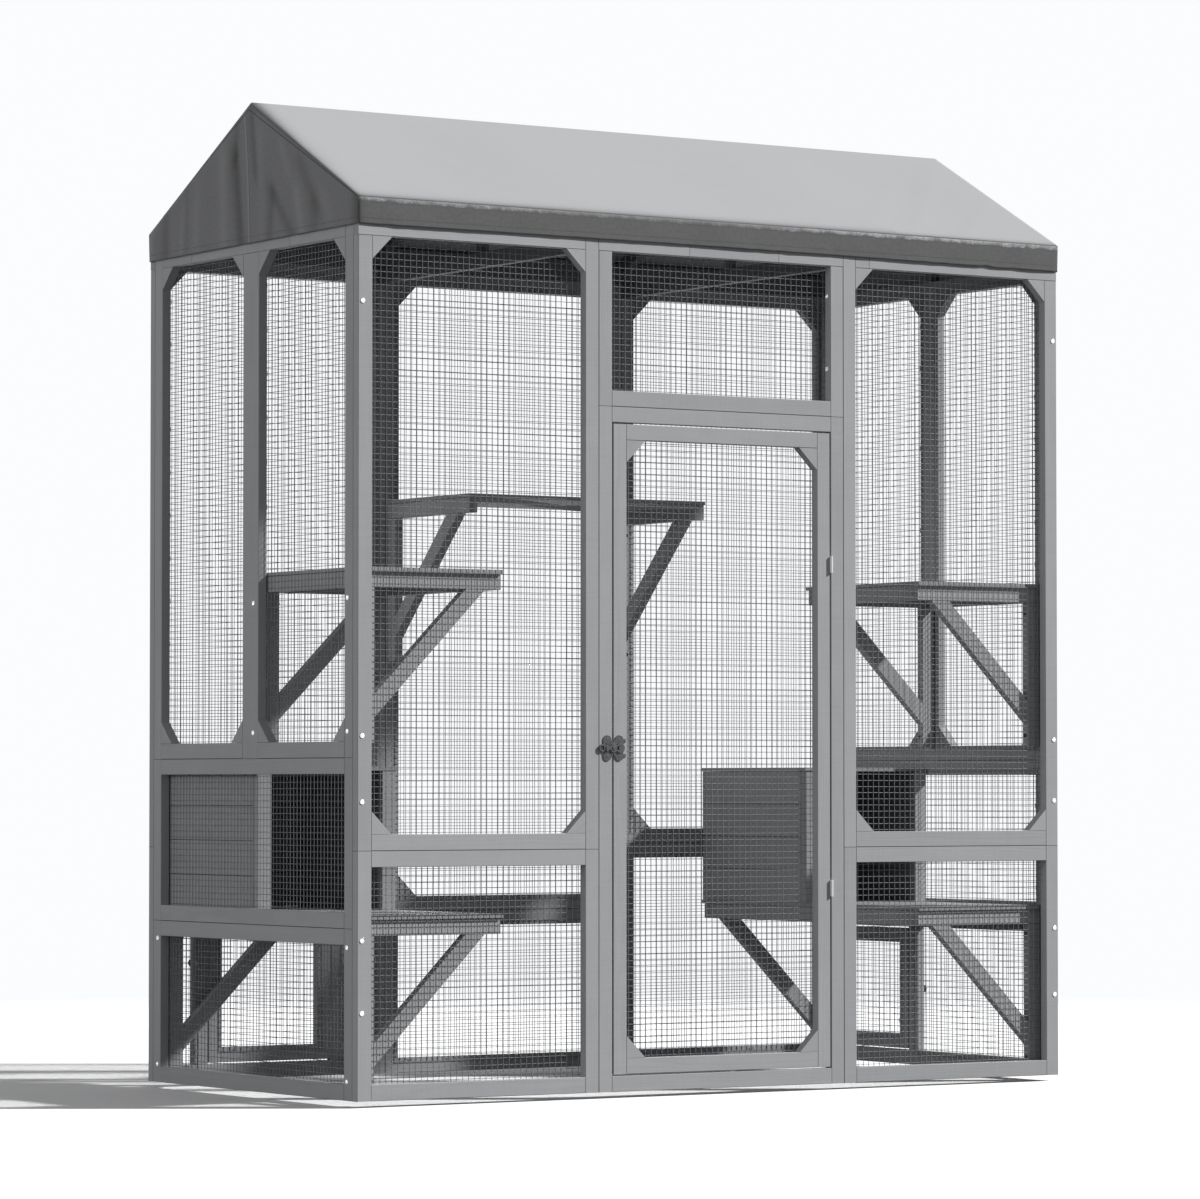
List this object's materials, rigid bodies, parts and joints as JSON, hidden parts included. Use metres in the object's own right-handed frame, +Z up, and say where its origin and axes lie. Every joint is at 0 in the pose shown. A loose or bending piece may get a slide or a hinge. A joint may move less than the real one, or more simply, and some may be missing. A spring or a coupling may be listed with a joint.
{
  "type": "outdoor cat enclosure",
  "caption": "Tall outdoor cat enclosure of timber panels with wire nets, a walk-in door, small doors, shelves, sleeping boxes and a pitched fabric cover.",
  "frame": {"origin": "middle of the base, on the ground", "axes": "+Z up, +Y from the walk-in door to the back wall, +X to the right along the front wall"},
  "size_m": [1.754, 0.8739, 2.01],
  "materials": {
    "timber": "grey stained, matte",
    "net_wire": "dull grey coated wire",
    "cover_fabric": "coated woven cloth",
    "hinge_steel": "white, satin",
    "latch_metal": "dark grey, satin",
    "screw_steel": "white, satin"
  },
  "bodies": {
    "enclosure": {"front_left_lower_frame": "timber", "front_left_upper_frame": "timber", "door_frame": "timber", "transom_frame": "timber", "front_right_lower_frame": "timber", "front_right_upper_frame": "timber", "back_left_lower_frame": "timber", "back_left_upper_frame": "timber", "back_centre_lower_frame": "timber", "back_centre_upper_frame": "timber", "back_right_lower_frame": "timber", "back_right_upper_frame": "timber", "left_end_lower_frame": "timber", "left_end_middle_frame": "timber", "left_end_upper_frame": "timber", "right_end_lower_frame": "timber", "right_end_middle_frame": "timber", "right_end_upper_frame": "timber", "front_left_nets": "net_wire", "front_right_nets": "net_wire", "transom_net": "net_wire", "back_left_nets": "net_wire", "back_centre_nets": "net_wire", "back_right_nets": "net_wire", "left_end_nets": "net_wire", "right_end_nets": "net_wire", "left_low_shelf": "timber", "right_low_shelf": "timber", "left_middle_shelf": "timber", "right_middle_shelf": "timber", "back_high_shelf": "timber", "left_decks": "timber", "right_decks": "timber", "back_deck": "timber", "left_sleeping_box": "timber", "right_sleeping_box": "timber", "eave_rails": "timber", "ridge_beam": "timber", "end_trusses": "timber", "tie_trusses": "timber", "roof_cover": "cover_fabric", "fixed_hinge_leaves": "hinge_steel", "latch_keepers": "latch_metal", "panel_screws": "screw_steel"},
    "walk_in_door": {"main_door": "timber", "main_door_net": "net_wire", "main_door_hinge_leaves": "hinge_steel", "main_latch_plate": "latch_metal"},
    "back_small_door": {"back_pet_door": "timber", "back_pet_door_net": "net_wire", "back_pet_door_hinge_leaves": "hinge_steel", "back_pet_latch_plate": "latch_metal"},
    "end_small_door": {"end_pet_door": "timber", "end_pet_door_net": "net_wire", "end_pet_door_hinge_leaves": "hinge_steel", "end_pet_latch_plate": "latch_metal"},
    "walk_in_latch": {"main_latch_lever": "latch_metal"},
    "back_small_latch": {"back_pet_latch_lever": "latch_metal"},
    "end_small_latch": {"end_pet_latch_lever": "latch_metal"}
  },
  "joints": [
    {"name": "walk_in_door_swing", "type": "hinge", "parent": "enclosure", "child": "walk_in_door", "pos_m": [0.2713, -0.4332, 0.6934], "axis": [0, 0, 1], "range_deg": [0, 165]},
    {"name": "back_small_door_swing", "type": "hinge", "parent": "enclosure", "child": "back_small_door", "pos_m": [-0.4395, 0.4332, 0.2449], "axis": [0, 0, -1], "range_deg": [0, 165]},
    {"name": "end_small_door_swing", "type": "hinge", "parent": "enclosure", "child": "end_small_door", "pos_m": [0.8732, 0.3763, 0.1684], "axis": [0, 0, 1], "range_deg": [0, 165]},
    {"name": "walk_in_latch_turn", "type": "hinge", "parent": "walk_in_door", "child": "walk_in_latch", "pos_m": [-0.2713, -0.43, 0.694], "axis": [0, 1, 0], "range_deg": [0, 90]},
    {"name": "back_small_latch_turn", "type": "hinge", "parent": "back_small_door", "child": "back_small_latch", "pos_m": [-0.7385, 0.43, 0.2449], "axis": [0, 1, 0], "range_deg": [0, 90]},
    {"name": "end_small_latch_turn", "type": "hinge", "parent": "end_small_door", "child": "end_small_latch", "pos_m": [0.87, 0.0805, 0.1684], "axis": [-1, 0, 0], "range_deg": [0, 90]}
  ]
}
